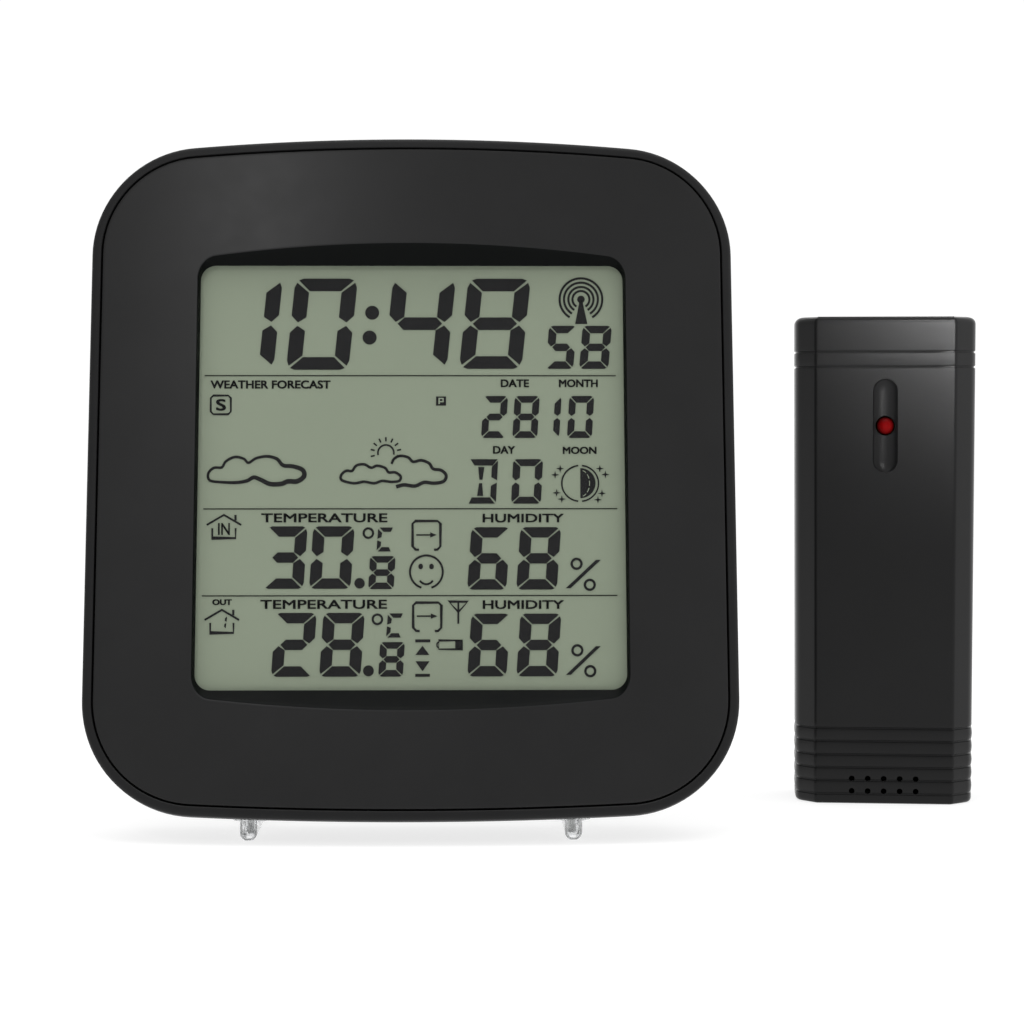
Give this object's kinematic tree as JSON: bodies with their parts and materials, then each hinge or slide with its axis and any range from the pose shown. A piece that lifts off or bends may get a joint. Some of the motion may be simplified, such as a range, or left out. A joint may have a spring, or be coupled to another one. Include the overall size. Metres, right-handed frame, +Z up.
{
  "type": "home weather station with outdoor sensor",
  "caption": "Leaning desk console in black with a large flat display and clear swivel feet, and a slim upright wireless outdoor sensor beside it.",
  "frame": {"origin": "on the ground, under the middle of the bounding box of console and sensor together", "axes": "+X from the console towards the outdoor sensor, along the longest side; +Z up; the display faces -Y and the sensor's front is turned 7 degrees from -Y towards -X"},
  "size_m": [0.1814, 0.0798, 0.1351],
  "materials": {
    "case_black": "satin moulded",
    "clear_plastic": "clear polished",
    "lcd_green": "satin, seen through a polariser",
    "silver_foil": "satin",
    "white_plastic": "moulded",
    "board_green": "solder mask",
    "chip_black": "moulded",
    "plated_steel": "bright plated",
    "grey_rubber": "matte",
    "ferrite": "ground",
    "copper_wire": "enamelled copper",
    "cell_label": "printed sleeve",
    "led_red": "clear dyed"
  },
  "bodies": {
    "console": {"rear_case": "case_black", "front_bezel": "case_black", "display_window": "clear_plastic", "lcd_panel": "lcd_green", "lcd_reflector": "silver_foil", "lcd_connector_strip": "grey_rubber", "lcd_frame": "white_plastic", "main_board": "board_green", "controller_chip": "chip_black", "clock_crystal": "plated_steel", "alarm_buzzer": "chip_black", "radio_receiver_board": "board_green", "receiver_antenna": "copper_wire", "clock_ferrite_rod": "ferrite", "clock_antenna_coil": "copper_wire", "indoor_climate_sensor": "white_plastic", "keypad_mat": "grey_rubber", "case_screw_lower_right": "plated_steel", "case_screw_lower_left": "plated_steel", "case_screw_upper_right": "plated_steel", "case_screw_upper_left": "plated_steel", "aa_cell_lower": "cell_label", "aa_cell_upper": "cell_label", "aa_spring_lower": "plated_steel", "aa_spring_upper": "plated_steel", "aa_contact_plate_lower": "plated_steel", "aa_contact_plate_upper": "plated_steel", "foot_pin_left": "plated_steel", "foot_pin_right": "plated_steel"},
    "foot_left": {"foot_left": "clear_plastic"},
    "foot_right": {"foot_right": "clear_plastic"},
    "console_battery_door": {"console_battery_door": "case_black"},
    "button_channel": {"button_channel": "case_black"},
    "button_alert": {"button_alert": "case_black"},
    "button_memory": {"button_memory": "case_black"},
    "button_down": {"button_down": "case_black"},
    "button_up": {"button_up": "case_black"},
    "button_mode": {"button_mode": "case_black"},
    "outdoor_sensor": {"sensor_front_shell": "case_black", "sensor_rear_shell": "case_black", "sensor_board": "board_green", "sensor_led": "led_red", "sensor_humidity_element": "white_plastic", "sensor_controller_chip": "chip_black", "sensor_transmitter": "plated_steel", "sensor_antenna": "copper_wire", "aaa_cell_right": "cell_label", "aaa_cell_left": "cell_label", "aaa_spring_right": "plated_steel", "aaa_spring_left": "plated_steel", "aaa_contact_plate_right": "plated_steel", "aaa_contact_plate_left": "plated_steel", "sensor_screw_lower": "plated_steel", "sensor_screw_upper": "plated_steel"},
    "sensor_battery_door": {"sensor_battery_door": "case_black"},
    "channel_switch_knob": {"channel_switch_knob": "white_plastic"},
    "sensor_reset_button": {"sensor_reset_button": "grey_rubber"}
  },
  "joints": [
    {"name": "foot_left_swivel", "type": "hinge", "parent": "console", "child": "foot_left", "pos_m": [-0.05877, -0.021, 0.0025], "axis": [0, 0, 1], "range_deg": [-90, 0]},
    {"name": "foot_right_swivel", "type": "hinge", "parent": "console", "child": "foot_right", "pos_m": [0.00323, -0.021, 0.0025], "axis": [0, 0, 1], "range_deg": [0, 90]},
    {"name": "console_battery_door_lift", "type": "slide", "parent": "console", "child": "console_battery_door", "axis": [0, 0.9744, -0.225], "range_m": [0, 0.02]},
    {"name": "button_channel_press", "type": "slide", "parent": "console", "child": "button_channel", "axis": [0, -0.9744, 0.225], "range_m": [0, 0.0008], "stiffness_N_per_m": 400},
    {"name": "button_alert_press", "type": "slide", "parent": "console", "child": "button_alert", "axis": [0, -0.9744, 0.225], "range_m": [0, 0.0008], "stiffness_N_per_m": 400},
    {"name": "button_memory_press", "type": "slide", "parent": "console", "child": "button_memory", "axis": [0, -0.9744, 0.225], "range_m": [0, 0.0008], "stiffness_N_per_m": 400},
    {"name": "button_down_press", "type": "slide", "parent": "console", "child": "button_down", "axis": [0, -0.9744, 0.225], "range_m": [0, 0.0008], "stiffness_N_per_m": 400},
    {"name": "button_up_press", "type": "slide", "parent": "console", "child": "button_up", "axis": [0, -0.9744, 0.225], "range_m": [0, 0.0008], "stiffness_N_per_m": 400},
    {"name": "button_mode_press", "type": "slide", "parent": "console", "child": "button_mode", "axis": [0, -0.9744, 0.225], "range_m": [0, 0.0008], "stiffness_N_per_m": 400},
    {"name": "outdoor_sensor_carry", "type": "slide", "parent": "console", "child": "outdoor_sensor", "axis": [1, 0, 0], "range_m": [0, 0.1]},
    {"name": "sensor_battery_door_lift", "type": "slide", "parent": "outdoor_sensor", "child": "sensor_battery_door", "axis": [0.1219, 0.9925, 0], "range_m": [0, 0.015]},
    {"name": "channel_switch_slide", "type": "slide", "parent": "outdoor_sensor", "child": "channel_switch_knob", "axis": [0.9925, -0.1219, 0], "range_m": [-0.0025, 0.0025]},
    {"name": "sensor_reset_press", "type": "slide", "parent": "outdoor_sensor", "child": "sensor_reset_button", "axis": [-0.1219, -0.9925, 0], "range_m": [0, 0.0005], "stiffness_N_per_m": 400}
  ]
}
